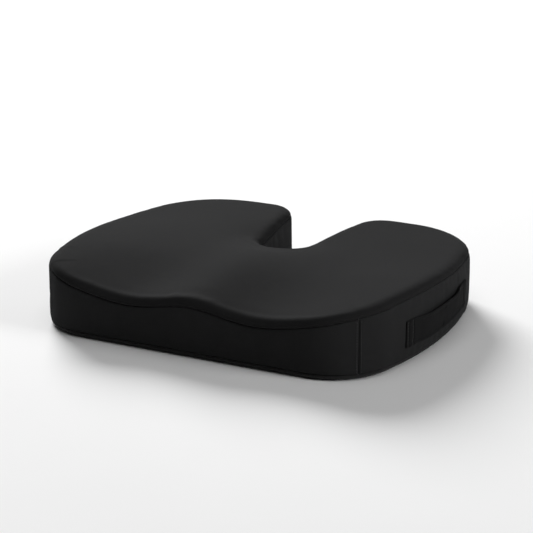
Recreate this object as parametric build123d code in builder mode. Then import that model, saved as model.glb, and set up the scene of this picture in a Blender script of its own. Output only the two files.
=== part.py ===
"""Seat cushion with a U-shaped plan: a contoured foam core in a thin liner, inside a sewn fabric
cover that has a zip along its left side, a carrying strap on its right side and grip dots below.

Frame: +X to the sitter's right, +Y to the rear (the open end of the U), +Z up. The origin is
under the middle of the cushion, on the surface that it rests on. Millimetres throughout.
"""
import math
import os

from build123d import *

os.makedirs("parts", exist_ok=True)

# ---------------------------------------------------------------- driving dimensions
DEPTH = 366.0  # front edge to the ends of the two lobes
FRONT = -DEPTH / 2
CUTOUT_DEPTH = 162.0
# Corners of the right half of the plan, as (x, distance behind the front edge), and their radii.
PLAN = [
    (0, 0),
    (200, 0),  # front corner
    (235, 161),  # where the bowed side would come to a point
    (197, DEPTH),  # rear corner of the lobe
    (50, DEPTH),  # lobe corner at the mouth of the cutout
    (25, DEPTH - CUTOUT_DEPTH),  # inner corner of the cutout
    (0, DEPTH - CUTOUT_DEPTH),
]
FRONT_R, SIDE_R, REAR_R, LOBE_R, CUTOUT_R = 72.0, 500.0, 106.0, 38.0, 27.0

SEAT_HEIGHT = 76.0  # top of the seat away from its hollows
RIDGE, RIDGE_WIDTH = 6.0, 46.0  # the middle ridge over the front half
GROOVE, GROOVE_X, GROOVE_WIDTH = 17.0, 82.0, 79.0  # the two leg grooves
GROOVE_END, GROOVE_FADE = 0.22, 0.09  # where the grooves die out, as shares of the depth
SIDE_RISE = 8.0  # lift of the front half's outer edges
FADE_AT, FADE_LENGTH = 0.5, 0.1  # where the ridge and the raised sides die out, likewise
REAR_RISE = 1.5
FRONT_FALL, FALL_LENGTH = 4.0, 0.08  # the seat falls towards the front edge
DIP, DIP_BACK, DIP_R = 8.0, 233.0, 45.0  # the seat falls away round the inner end of the cutout
TOP_R = 12.0  # roll of the seat over its edge
BOTTOM_R = 6.0

COVER = 1.4  # fabric thickness
LINER_GAP, LINER = 1.5, 0.4  # the liner's outer face lies this far inside the cover's
FOAM_GAP = 2.0
TOP_SEAM = 9.0  # how far the top panel reaches down over the edge
BOTTOM_SEAM = 7.0  # height of the seam between the bands and the bottom panel
CORNER_SEAM = -44.0  # bearing of the front corner seam, from the corner's centre
LINER_SEAM = 38.0

GRIP_HEIGHT, GRIP_R, GRIP_PITCH, GRIP_MARGIN = 0.8, 3.0, 36.0, 16.0

ZIP_Z = 27.0  # height of the zip's centre line on the left side
ZIP_START, ZIP_END = -11.5, 10.2  # bearings of the zip opening along the side's arc
SLOT = 5.0  # half height of the opening between the two zip panels
GROOVE_BACK, GROOVE_HALF = -3.1, 5.5  # hollow in the foam and liner behind the slider
TAPE_HALF, TAPE_IN, TAPE_OUT = 9.0, -1.4, -0.8  # tape, as offsets from the wall's face
TOOTH_PITCH, TOOTH_LENGTH, TOOTH_HEIGHT = 2.8, 1.7, 2.1
TOOTH_CHAMFER = 0.35
TOOTH_SLIT = 0.5  # each row of teeth starts this far from the centre line
STOP_LENGTH, STOP_THICK = 2.5, 1.8
STOP_MARGIN = 3.0  # tape left beyond each stop
SLIDER_LENGTH, SLIDER_HALF = 12.0, 4.25
SLIDER_GAP = 0.5  # between the slider and a stop at each end of its travel
INNER_PLATE = (-2.7, -1.8)  # the slider's plates and side flanges, as offsets from the wall's face
OUTER_PLATE = (1.1, 2.1)
FLANGE_FOOT, FLANGE = -0.5, 1.0
WEB_HALF, WEB_BEARING = 0.35, 0.3
BRIDGE_HALF = 1.0
PIVOT = 3.3  # the pull's cross-bar, out from the wall's face
PULL_BAR_R, PULL_HALF, PULL_EYE, PULL_LENGTH = 0.7, 3.0, 6.5, 22.0
PULL_SHOULDER, PULL_FLARE, PULL_ARM, PULL_HOLE_R = 2.0, 0.6, 1.4, 1.5

STRAP_START, STRAP_END = -9.4, 10.0  # bearings of the handle's two ends
STRAP_LOW, STRAP_HIGH = 20.5, 51.5
STRAP_THICK, STRAP_EDGE_R = 2.4, 0.8
STRAP_GAP = 0.3
STRAP_TAB = 16.0  # length of each sewn end
STITCH_LENGTH, STITCH_WIDTH, STITCH_HIGH, STITCH_PITCH = 2.6, 0.7, 0.3, 4.0
STITCH_LEAD = 3.5  # first stitch's middle above the strap's lower edge
TAB_ROW, TAB_STITCHES = 5.0, 7  # rows of stitches, this far to each side of a tab's middle
SEAM_ROW, SEAM_STITCHES = 5.5, 10  # rows of top-stitching, this far to each side of a corner seam

TALL = 120.0  # taller than any part of the cushion


# ---------------------------------------------------------------- plan outline
def plan_outline():
    """Draws the right half of the plan and its mirror image in the current line builder."""
    corners = [(x, FRONT + y) for x, y in PLAN]
    FilletPolyline(*corners, radius=[FRONT_R, SIDE_R, REAR_R, LOBE_R, CUTOUT_R])
    mirror(about=Plane.YZ)


with BuildLine() as outline:
    plan_outline()
right_arcs = outline.edges().filter_by(GeomType.CIRCLE).filter_by(lambda e: e.center().X > 0)
cutout_arc, lobe_arc, front_arc, rear_arc, side_arc = right_arcs.sort_by(SortBy.RADIUS)
SIDE_CENTRE = side_arc.arc_center
HALF_WIDTH = SIDE_CENTRE.X + SIDE_R
DEGREE = math.degrees(1 / SIDE_R)  # degrees of bearing in a millimetre along the side wall


def side_point(side, offset, bearing):
    """A plan point `offset` outside a side wall; side is 1 for the right wall and -1 for the left.

    The bearing is in degrees from the wall's widest point, and grows towards the rear."""
    turn = math.radians(bearing)
    reach = SIDE_R + offset
    return (side * (SIDE_CENTRE.X + reach * math.cos(turn)), SIDE_CENTRE.Y + reach * math.sin(turn))


def side_slab(side, inner, outer, start, end, low, high):
    """A curved slab that follows a side wall, between two offsets, two bearings and two heights."""
    middle = (start + end) / 2
    with BuildPart() as slab:
        with BuildSketch(Plane.XY.offset(low)):
            with BuildLine():
                ThreePointArc(*[side_point(side, inner, b) for b in (start, middle, end)])
                Line(side_point(side, inner, end), side_point(side, outer, end))
                ThreePointArc(*[side_point(side, outer, b) for b in (end, middle, start)])
                Line(side_point(side, outer, start), side_point(side, inner, start))
            make_face()
        extrude(amount=high - low)
    return slab.part


def side_plane(side, offset, bearing, height):
    """A level plane at a side wall whose x axis points straight out of the wall."""
    x, y = side_point(side, offset, bearing)
    far_x, far_y = side_point(side, offset + 1, bearing)
    return Plane(origin=(x, y, height), x_dir=(far_x - x, far_y - y, 0), z_dir=(0, 0, 1))


# ---------------------------------------------------------------- seat surface
def seat_height(x, y):
    """Height of the seat: a ridge and two leg grooves in front, which fade out to a plain rear."""
    along = (y - FRONT) / DEPTH
    fade = 1 / (1 + math.exp((along - FADE_AT) / FADE_LENGTH))
    groove_fade = 1 / (1 + math.exp((along - GROOVE_END) / GROOVE_FADE))
    dip = DIP * math.exp(-(math.hypot(x, y - FRONT - DIP_BACK) ** 2) / DIP_R**2)
    fall = FRONT_FALL * math.exp(-along / FALL_LENGTH)
    ridge = RIDGE * math.exp(-((x / RIDGE_WIDTH) ** 2))
    grooves = sum(math.exp(-(((x - side * GROOVE_X) / GROOVE_WIDTH) ** 2)) for side in (1, -1))
    raised = (ridge + SIDE_RISE * (x / HALF_WIDTH) ** 2) * fade
    return SEAT_HEIGHT + raised - GROOVE * grooves * groove_fade + REAR_RISE * along - fall - dip


SECTIONS, SPAN, STATION, OVERHANG = 14, 240, 30, 12.0
with BuildPart() as under_seat:
    for step in range(SECTIONS):
        y = FRONT - OVERHANG + (DEPTH + 2 * OVERHANG) * step / (SECTIONS - 1)
        with BuildSketch(Plane.XZ.offset(-y)):
            with BuildLine():
                seat = Spline(*[(x, seat_height(x, y)) for x in range(-SPAN, SPAN + 1, STATION)])
                Polyline(seat @ 1, (SPAN, -OVERHANG), (-SPAN, -OVERHANG), seat @ 0)
            make_face()
    loft()


def cushion_solid(inset):
    """A closed solid of the cushion's shape, `inset` inside the cover's outer face."""
    with BuildPart() as solid:
        with BuildSketch(Plane.XY.offset(GRIP_HEIGHT + inset)):
            with BuildLine():
                plan_outline()
            make_face()
            if inset:
                offset(amount=-inset, mode=Mode.REPLACE)
        extrude(amount=TALL)
        with Locations((0, 0, -inset)):
            add(under_seat.part, mode=Mode.INTERSECT)
        top = solid.faces().filter_by(lambda f: f.normal_at(f.center()).Z > 0.5)
        fillet(top.sort_by(SortBy.AREA)[-1].edges(), radius=TOP_R - inset)
        fillet(solid.faces().sort_by(Axis.Z)[0].edges(), radius=BOTTOM_R - inset)
    return solid.part


cover_outer = cushion_solid(0)
cover_inner = cushion_solid(COVER)
liner_outer = cushion_solid(LINER_GAP)
liner_inner = cushion_solid(LINER_GAP + LINER)
foam_shape = cushion_solid(FOAM_GAP)

# The slider's inner plate runs in a shallow groove behind the zip.
zip_groove = side_slab(
    -1, GROOVE_BACK, -LINER_GAP, ZIP_START, ZIP_END, ZIP_Z - GROOVE_HALF, ZIP_Z + GROOVE_HALF
)

# ---------------------------------------------------------------- foam and liner
with BuildPart() as foam_core:
    add(foam_shape)
    add(zip_groove, mode=Mode.SUBTRACT)
foam_core.part.label = "foam_core"
export_step(foam_core.part, "parts/foam_core.step")

with BuildPart() as liner_upper:
    add(liner_outer)
    add(liner_inner, mode=Mode.SUBTRACT)
    add(zip_groove, mode=Mode.SUBTRACT)
    split(bisect_by=Plane.XY.offset(LINER_SEAM), keep=Keep.TOP)
liner_upper.part.label = "liner_upper"
export_step(liner_upper.part, "parts/liner_upper.step")

with BuildPart() as liner_lower:
    add(liner_outer)
    add(liner_inner, mode=Mode.SUBTRACT)
    add(zip_groove, mode=Mode.SUBTRACT)
    split(bisect_by=Plane.XY.offset(LINER_SEAM), keep=Keep.BOTTOM)
liner_lower.part.label = "liner_lower"
export_step(liner_lower.part, "parts/liner_lower.step")

# ---------------------------------------------------------------- cover panels
with BuildPart() as cover_shell:
    add(cover_outer)
    add(cover_inner, mode=Mode.SUBTRACT)

with BuildPart() as cover_top_panel:
    add(cover_shell.part)
    with Locations((0, 0, -TOP_SEAM)):
        add(under_seat.part, mode=Mode.SUBTRACT)
cover_top_panel.part.label = "cover_top_panel"
export_step(cover_top_panel.part, "parts/cover_top_panel.step")

with BuildPart() as cover_bottom_panel:
    add(cover_shell.part)
    split(bisect_by=Plane.XY.offset(BOTTOM_SEAM), keep=Keep.BOTTOM)
cover_bottom_panel.part.label = "cover_bottom_panel"
export_step(cover_bottom_panel.part, "parts/cover_bottom_panel.step")

with BuildPart() as band_ring:
    add(cover_shell.part)
    with Locations((0, 0, -TOP_SEAM)):
        add(under_seat.part, mode=Mode.INTERSECT)
    split(bisect_by=Plane.XY.offset(BOTTOM_SEAM), keep=Keep.TOP)


def plan_zone(corners):
    """A tall block over a plan polygon and its mirror image, to cut the band into its pieces."""
    outline = corners + [(-x, y) for x, y in reversed(corners)]
    with BuildPart() as zone:
        with BuildSketch():
            with BuildLine():
                Polyline(*outline, close=True)
            make_face()
        extrude(amount=TALL)
    return zone.part


corner = front_arc.arc_center
seam = math.radians(CORNER_SEAM)
seam_end = (corner.X + 2 * FRONT_R * math.cos(seam), corner.Y + 2 * FRONT_R * math.sin(seam))
front_zone = plan_zone([(corner.X, corner.Y), seam_end, (seam_end[0], FRONT - FRONT_R)])
lobe = lobe_arc.arc_center
cutout_zone = plan_zone([(lobe.X, 0), (lobe.X, lobe.Y), (1, lobe.Y + lobe.X)])
THROUGH = 10.0  # reaches past both faces of the fabric
zip_zone = side_slab(-1, -THROUGH, THROUGH, ZIP_START, ZIP_END, 0, TALL)

with BuildPart() as cover_front_band:
    add(band_ring.part)
    add(front_zone, mode=Mode.INTERSECT)
cover_front_band.part.label = "cover_front_band"
export_step(cover_front_band.part, "parts/cover_front_band.step")

with BuildPart() as cover_cutout_band:
    add(band_ring.part)
    add(cutout_zone, mode=Mode.INTERSECT)
cover_cutout_band.part.label = "cover_cutout_band"
export_step(cover_cutout_band.part, "parts/cover_cutout_band.step")

with BuildPart() as side_bands:
    add(band_ring.part)
    add(front_zone, mode=Mode.SUBTRACT)
    add(cutout_zone, mode=Mode.SUBTRACT)

with BuildPart() as cover_right_band:
    add(side_bands.part)
    split(bisect_by=Plane.YZ, keep=Keep.TOP)
cover_right_band.part.label = "cover_right_band"
export_step(cover_right_band.part, "parts/cover_right_band.step")

with BuildPart() as left_bands:
    add(side_bands.part)
    split(bisect_by=Plane.YZ, keep=Keep.BOTTOM)
    add(zip_zone, mode=Mode.SUBTRACT)

with BuildPart() as cover_left_front_band:
    add(left_bands.solids().sort_by(Axis.Y)[0])
cover_left_front_band.part.label = "cover_left_front_band"
export_step(cover_left_front_band.part, "parts/cover_left_front_band.step")

with BuildPart() as cover_left_rear_band:
    add(left_bands.solids().sort_by(Axis.Y)[-1])
cover_left_rear_band.part.label = "cover_left_rear_band"
export_step(cover_left_rear_band.part, "parts/cover_left_rear_band.step")

# ---------------------------------------------------------------- zip panels and tapes
# The folded edge of each panel lies over the tape, which is let into its inner face.
tape_bed = side_slab(-1, TAPE_IN, TAPE_OUT, ZIP_START, ZIP_END, ZIP_Z - TAPE_HALF, ZIP_Z + TAPE_HALF)
zip_slot = side_slab(-1, -THROUGH, THROUGH, ZIP_START, ZIP_END, ZIP_Z - SLOT, ZIP_Z + SLOT)

with BuildPart() as zip_panel_upper:
    add(side_bands.part)
    add(zip_zone, mode=Mode.INTERSECT)
    split(bisect_by=Plane.XY.offset(ZIP_Z), keep=Keep.TOP)
    add(zip_slot, mode=Mode.SUBTRACT)
    add(tape_bed, mode=Mode.SUBTRACT)
zip_panel_upper.part.label = "zip_panel_upper"
export_step(zip_panel_upper.part, "parts/zip_panel_upper.step")

with BuildPart() as zip_panel_lower:
    add(side_bands.part)
    add(zip_zone, mode=Mode.INTERSECT)
    split(bisect_by=Plane.XY.offset(ZIP_Z), keep=Keep.BOTTOM)
    add(zip_slot, mode=Mode.SUBTRACT)
    add(tape_bed, mode=Mode.SUBTRACT)
zip_panel_lower.part.label = "zip_panel_lower"
export_step(zip_panel_lower.part, "parts/zip_panel_lower.step")

upper_tape = side_slab(
    -1, TAPE_IN, TAPE_OUT, ZIP_START, ZIP_END, ZIP_Z + TOOTH_SLIT, ZIP_Z + TAPE_HALF
)
with BuildPart() as zip_tape_upper:
    add(upper_tape)
zip_tape_upper.part.label = "zip_tape_upper"
export_step(zip_tape_upper.part, "parts/zip_tape_upper.step")

lower_tape = side_slab(
    -1, TAPE_IN, TAPE_OUT, ZIP_START, ZIP_END, ZIP_Z - TAPE_HALF, ZIP_Z - TOOTH_SLIT
)
with BuildPart() as zip_tape_lower:
    add(lower_tape)
zip_tape_lower.part.label = "zip_tape_lower"
export_step(zip_tape_lower.part, "parts/zip_tape_lower.step")

# ---------------------------------------------------------------- zip teeth and end stops
stop_turn = (STOP_MARGIN + STOP_LENGTH / 2) * DEGREE
teeth_start = ZIP_START + (STOP_MARGIN + STOP_LENGTH + TOOTH_LENGTH) * DEGREE
teeth_end = ZIP_END - (STOP_MARGIN + STOP_LENGTH + TOOTH_LENGTH) * DEGREE
tooth_count = int((teeth_end - teeth_start) / (TOOTH_PITCH * DEGREE))


def tooth_places(height, lead):
    """Places along one tape's edge, a pitch apart, `lead` pitches on from the first tooth."""
    bearings = [teeth_start + (i + lead) * TOOTH_PITCH * DEGREE for i in range(tooth_count)]
    return [side_plane(-1, 0, bearing, height).location for bearing in bearings]


with BuildPart() as tooth:
    Box(2 * -TAPE_OUT, TOOTH_LENGTH, TOOTH_HEIGHT)
    chamfer(tooth.edges().group_by(Axis.X)[-1], length=TOOTH_CHAMFER)
tooth_rise = TOOTH_SLIT + TOOTH_HEIGHT / 2

with BuildPart() as zip_teeth_upper:
    with Locations(*tooth_places(ZIP_Z + tooth_rise, 0)):
        add(tooth.part)
zip_teeth_upper.part.label = "zip_teeth_upper"
export_step(zip_teeth_upper.part, "parts/zip_teeth_upper.step")

with BuildPart() as zip_teeth_lower:
    with Locations(*tooth_places(ZIP_Z - tooth_rise, 0.5)):
        add(tooth.part)
zip_teeth_lower.part.label = "zip_teeth_lower"
export_step(zip_teeth_lower.part, "parts/zip_teeth_lower.step")

stop_bearings = [ZIP_START + stop_turn, ZIP_END - stop_turn]
with BuildPart() as zip_end_stops:
    with Locations(*[side_plane(-1, 0.1, bearing, ZIP_Z).location for bearing in stop_bearings]):
        Box(STOP_THICK, STOP_LENGTH, 2 * (TOOTH_SLIT + TOOTH_HEIGHT))
    fillet(zip_end_stops.edges().filter_by(Axis.Z), radius=0.4)
zip_end_stops.part.label = "zip_end_stops"
export_step(zip_end_stops.part, "parts/zip_end_stops.step")

# ---------------------------------------------------------------- zip slider and pull
# The slider rests at the rear stop, with the zip closed, and opens it on its way forward.
half_slider = SLIDER_LENGTH / 2 * DEGREE
clear_of_stop = (STOP_MARGIN + STOP_LENGTH + SLIDER_GAP) * DEGREE + half_slider
slider_bearing = ZIP_END - clear_of_stop
slider_travel = slider_bearing - (ZIP_START + clear_of_stop)


def slider_slab(offsets, half_turn, low, high):
    """A curved slab round the slider's middle, between two heights from the zip's centre line."""
    ends = (slider_bearing - half_turn, slider_bearing + half_turn)
    return side_slab(-1, *offsets, *ends, ZIP_Z + low, ZIP_Z + high)


flange_offsets = (FLANGE_FOOT, OUTER_PLATE[0])
slider_pieces = [
    slider_slab(INNER_PLATE, half_slider, -SLIDER_HALF, SLIDER_HALF),
    slider_slab(OUTER_PLATE, half_slider, -SLIDER_HALF, SLIDER_HALF),
    slider_slab(flange_offsets, half_slider, SLIDER_HALF - FLANGE, SLIDER_HALF),
    slider_slab(flange_offsets, half_slider, -SLIDER_HALF, FLANGE - SLIDER_HALF),
    slider_slab((INNER_PLATE[1], OUTER_PLATE[0]), WEB_BEARING, -WEB_HALF, WEB_HALF),
]
# The bridge in plan: x is the height above the wall's face, y runs along the zip.
bridge_top = [(1.9, 5.2), (3.6, 5.2), (5.7, 3.2)]
bridge_hollow = [(1.9, 4.2), (3.3, 4.2), (4.5, 2.8)]

with BuildPart() as zip_slider:
    add(slider_pieces)
    with BuildSketch(side_plane(-1, 0, slider_bearing, ZIP_Z)):
        with BuildLine():
            Polyline(*bridge_top, *[(x, -y) for x, y in reversed(bridge_top)], close=True)
        make_face()
        with BuildLine():
            Polyline(*bridge_hollow, *[(x, -y) for x, y in reversed(bridge_hollow)], close=True)
        make_face(mode=Mode.SUBTRACT)
    extrude(amount=BRIDGE_HALF, both=True)
zip_slider.part.label = "zip_slider"
export_step(zip_slider.part, "parts/zip_slider.step")

level = side_plane(-1, PIVOT, slider_bearing, ZIP_Z)
pull_plane = Plane(origin=level.origin, x_dir=level.y_dir, z_dir=level.x_dir)
shoulder = (PULL_EYE + PULL_SHOULDER, PULL_HALF + PULL_FLARE)
tip_start = (PULL_LENGTH - PULL_HALF, PULL_HALF)

with BuildPart() as zip_pull:
    with BuildSketch(pull_plane):
        with BuildLine():
            Polyline((0, 0), (0, PULL_HALF), (PULL_EYE, PULL_HALF), shoulder, tip_start)
            RadiusArc(tip_start, (PULL_LENGTH, 0), PULL_HALF)
            mirror(about=Plane.XZ)
        make_face()
        with Locations((PULL_EYE / 2, 0)):
            Rectangle(PULL_EYE, 2 * (PULL_HALF - PULL_ARM), mode=Mode.SUBTRACT)
        with Locations((PULL_LENGTH - PULL_HALF - 1, 0)):
            Circle(PULL_HOLE_R, mode=Mode.SUBTRACT)
    extrude(amount=PULL_BAR_R, both=True)
    with Locations(pull_plane):
        Cylinder(PULL_BAR_R, 2 * PULL_HALF, rotation=(90, 0, 0))
zip_pull.part.label = "zip_pull"
export_step(zip_pull.part, "parts/zip_pull.step")

# ---------------------------------------------------------------- carrying handle
tab_turn = STRAP_TAB * DEGREE
strap_start = STRAP_START + tab_turn
strap_end = STRAP_END - tab_turn
gap_turn = STRAP_GAP * DEGREE
strap_heights = (STRAP_LOW, STRAP_HIGH)
front_tab = side_slab(1, 0, STRAP_THICK, STRAP_START, strap_start, *strap_heights)
rear_tab = side_slab(1, 0, STRAP_THICK, strap_end, STRAP_END, *strap_heights)
loose_offsets = (STRAP_GAP, STRAP_GAP + STRAP_THICK)
loose_strap = side_slab(1, *loose_offsets, strap_start + gap_turn, strap_end - gap_turn, *strap_heights)

with BuildPart() as handle_end_front:
    add(front_tab)
handle_end_front.part.label = "handle_end_front"
export_step(handle_end_front.part, "parts/handle_end_front.step")

with BuildPart() as handle_end_rear:
    add(rear_tab)
handle_end_rear.part.label = "handle_end_rear"
export_step(handle_end_rear.part, "parts/handle_end_rear.step")

with BuildPart() as handle_strap:
    add(loose_strap)
    fillet(handle_strap.edges().filter_by(GeomType.CIRCLE), radius=STRAP_EDGE_R)
handle_strap.part.label = "handle_strap"
export_step(handle_strap.part, "parts/handle_strap.step")

# ---------------------------------------------------------------- stitching
with BuildPart() as stitch:
    Box(STITCH_HIGH, STITCH_WIDTH, STITCH_LENGTH, align=(Align.MIN, Align.CENTER, Align.CENTER))

tab_middles = (STRAP_START + tab_turn / 2, STRAP_END - tab_turn / 2)
tab_rows = [middle + row * DEGREE for middle in tab_middles for row in (-TAB_ROW, TAB_ROW)]
tab_heights = [STRAP_LOW + STITCH_LEAD + STITCH_PITCH * i for i in range(TAB_STITCHES)]
with BuildPart() as handle_stitching:
    with Locations(*[side_plane(1, STRAP_THICK, row, z).location for row in tab_rows for z in tab_heights]):
        add(stitch.part)
handle_stitching.part.label = "handle_stitching"
export_step(handle_stitching.part, "parts/handle_stitching.step")

with BuildPart() as seam_stitching:
    for row in (-SEAM_ROW, SEAM_ROW):
        turn = seam + row / FRONT_R
        out = (math.cos(turn), math.sin(turn))
        foot = (corner.X + FRONT_R * out[0], corner.Y + FRONT_R * out[1])
        for i in range(SEAM_STITCHES):
            height = BOTTOM_SEAM + STITCH_PITCH * (i + 1)
            with Locations(Plane(origin=(*foot, height), x_dir=(*out, 0), z_dir=(0, 0, 1))):
                add(stitch.part)
    mirror(about=Plane.YZ)
seam_stitching.part.label = "seam_stitching"
export_step(seam_stitching.part, "parts/seam_stitching.step")

# ---------------------------------------------------------------- grip dots
with BuildSketch() as grip_area:
    with BuildLine():
        plan_outline()
    make_face()
    offset(amount=-GRIP_MARGIN, mode=Mode.REPLACE)
grid = GridLocations(GRIP_PITCH, GRIP_PITCH, 13, 11).local_locations
dot_places = [place for place in grid if grip_area.face().is_inside(place.position)]
with BuildPart() as grip_dots:
    with BuildSketch():
        with Locations(*dot_places):
            Circle(GRIP_R)
    extrude(amount=GRIP_HEIGHT)
grip_dots.part.label = "grip_dots"
export_step(grip_dots.part, "parts/grip_dots.step")

# ---------------------------------------------------------------- joint positions
print("zip slider turns about", (-SIDE_CENTRE.X, SIDE_CENTRE.Y), "by", slider_travel, "degrees")
print("zip pull turns about", tuple(pull_plane.origin))
strap_middle = (STRAP_START + STRAP_END) / 2
print("handle strap slides out at", side_point(1, 0, strap_middle), "on a bearing of", strap_middle)
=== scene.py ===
"""A U-shaped seat cushion: its sewn cover, carrying strap, zip, stitching and studio, round its frame.

Metres throughout, in the frame's own axes: +X to the sitter's right, +Y to the open end of the U, +Z up.
"""

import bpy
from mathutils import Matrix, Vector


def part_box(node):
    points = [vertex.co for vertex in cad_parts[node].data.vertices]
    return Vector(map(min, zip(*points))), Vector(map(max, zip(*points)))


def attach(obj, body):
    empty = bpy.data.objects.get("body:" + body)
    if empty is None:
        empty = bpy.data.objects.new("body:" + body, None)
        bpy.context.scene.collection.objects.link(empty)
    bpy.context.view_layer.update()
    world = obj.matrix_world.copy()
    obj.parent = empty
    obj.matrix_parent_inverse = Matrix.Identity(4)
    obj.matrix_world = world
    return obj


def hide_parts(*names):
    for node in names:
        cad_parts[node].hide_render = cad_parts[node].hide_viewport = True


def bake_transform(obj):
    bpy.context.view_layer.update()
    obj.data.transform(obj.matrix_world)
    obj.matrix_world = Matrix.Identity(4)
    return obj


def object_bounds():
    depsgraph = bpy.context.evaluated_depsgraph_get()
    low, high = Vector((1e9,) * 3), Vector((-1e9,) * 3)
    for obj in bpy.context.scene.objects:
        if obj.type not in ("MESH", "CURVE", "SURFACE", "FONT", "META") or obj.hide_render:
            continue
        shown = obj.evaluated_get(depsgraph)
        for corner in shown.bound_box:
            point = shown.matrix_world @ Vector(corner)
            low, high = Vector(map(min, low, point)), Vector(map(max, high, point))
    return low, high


bl_info = {
    "name": "Seat cushion",
    "version": (1, 0, 0),
    "blender": (4, 5, 0),
    "location": "View3D > Sidebar > Cushion",
    "description": "Builds a seat cushion's cover, strap, zip and studio round its CAD frame",
    "category": "Object",
}

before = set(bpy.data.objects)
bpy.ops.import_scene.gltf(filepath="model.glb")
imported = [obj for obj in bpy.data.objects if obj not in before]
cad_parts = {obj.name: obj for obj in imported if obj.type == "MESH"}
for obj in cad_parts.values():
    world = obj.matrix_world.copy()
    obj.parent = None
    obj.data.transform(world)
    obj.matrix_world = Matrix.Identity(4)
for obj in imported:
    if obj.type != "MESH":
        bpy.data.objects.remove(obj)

import math

import bmesh
import bpy
import numpy as np
from bpy.props import FloatProperty, FloatVectorProperty, IntProperty, PointerProperty
from mathutils import Matrix, Vector, noise
from mathutils.bvhtree import BVHTree
from mathutils.geometry import delaunay_2d_cdt
from mathutils.kdtree import KDTree

CAD_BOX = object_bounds()
MM = 0.001

# Shape of the frame's edges, which the cover follows.
TOP_ROLL = 12 * MM  # radius of the seat's rolled edge
TOP_SEAM_DROP = 9 * MM  # the top panel's seam lies this far below the seat
BOTTOM_ROLL = 6 * MM
BASE_INSETS = (26 * MM, 18 * MM, 11 * MM, BOTTOM_ROLL)  # mesh lines on the base, inward from the outline
SEAT_INSETS = (17 * MM, 23 * MM, 29 * MM)  # and on the seat
SEAM_STEPS = (0.9 * MM, 2.5 * MM, 5.4 * MM)  # mesh lines beside a seam, on each side
RIM_INSET = 0.7 * MM  # how far inside the outline the rim's height is read
WALL_REACH = 0.05  # how far outside the outline the search for a wall starts
TRIANGLE_ROW = 0.866  # height of an equilateral triangle, as a share of its side

# The cloth simulation.
CLOTH_FRAMES = 20
CLOTH = {
    "quality": 6,
    "mass": 0.25,
    "tension_stiffness": 12,
    "compression_stiffness": 12,
    "shear_stiffness": 6,
    "bending_stiffness": 0.6,
    "shrink_min": -0.012,  # negative, so that the fabric starts a little too large
    "use_pressure": True,
    "vertex_group_mass": "held",
}
TANGENTIAL_SHARE = 0.5  # how much of the movement along the surface is kept
NO_MOVEMENT = 1e-9  # movements up to this count as none

# How far the mesh lines beside a seam are drawn in, as shares of the seam's depth.
FOLD = -0.45
FOLD_FOOT = 0.15
ROW_FOOT = 0.25

# Gathers beside a seam, and the fabric's unevenness away from one.
GATHER_START = 1.2 * MM
GATHER_REACH = 7 * MM
GATHER_FREQUENCY = 115
UNEVEN_REACH = 9 * MM
UNEVEN_HEIGHT = 0.35 * MM
UNEVEN_FREQUENCY = 17

# Stitches.
STITCH_PITCH = 3.1 * MM
STITCH_LENGTH = 2.4 * MM
SEAM_THREAD = 0.26 * MM  # radius
STRAP_THREAD = 0.3 * MM
STITCH_SIDES = 6
STITCH_PROFILE = (  # shares of the length along it, of the radius across it, and of the radius outward
    (-0.5, 0.2, -0.5),
    (-0.42, 0.75, -0.1),
    (-0.2, 1.0, 0.25),
    (0.2, 1.0, 0.25),
    (0.42, 0.75, -0.1),
    (0.5, 0.2, -0.5),
)

# The strap.
STRAP_THICKNESS = 2.2 * MM
STRAP_SHADE = 0.55  # its colour, as a share of the bands'
TAB_LINES = (0.22, 0.8)  # where its sewn ends are stitched, as shares of their length

PINCH = (0.6, 1.3 * MM)  # how far a line of stitches draws it in, as a share, and how far that reaches
PUFF = (0.25, 2.6 * MM)  # the puff between the lines
END_PINCH = (0.25, 0.6 * MM)  # its outer end

# The stage.
LIGHTS = {  # place and size
    "key": ((-3.8, 3.6, 2.6), 2.8),
    "top": ((0.2, -0.9, 4.6), 4.0),
    "side": ((3.9, 0.1, 1.7), 1.8),
}
MIDDLE_HEIGHT = 35 * MM
FLOOR_RADIUS = 5.0
FLOOR_SIDES = 48
FLOOR_COLOUR = (0.86, 0.86, 0.86)
BACKDROP = 1.0  # brightness of the surroundings as the camera sees them
FILL = 0.05  # brightness of the surroundings as a light
SENSOR = 36

BAND_NODES = (
    "cover_front_band",
    "cover_right_band",
    "cover_cutout_band",
    "cover_left_rear_band",
    "cover_left_front_band",
    "zip_panel_upper",
    "zip_panel_lower",
)


# ---------------------------------------------------------------- settings
def length_setting(name, description, default):
    """A setting in metres."""
    return FloatProperty(name=name, description=description, default=default, unit="LENGTH")


def angle_setting(name, description, degrees):
    """A setting for an angle, given in degrees and kept in radians."""
    return FloatProperty(name=name, description=description, default=math.radians(degrees), subtype="ANGLE")


def power_setting(name, description, default):
    """A setting in watts."""
    return FloatProperty(name=name, description=description, default=default, unit="POWER")


def colour_setting(name, description, default):
    """A setting for a colour."""
    return FloatVectorProperty(name=name, description=description, default=default, subtype="COLOR")


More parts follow.
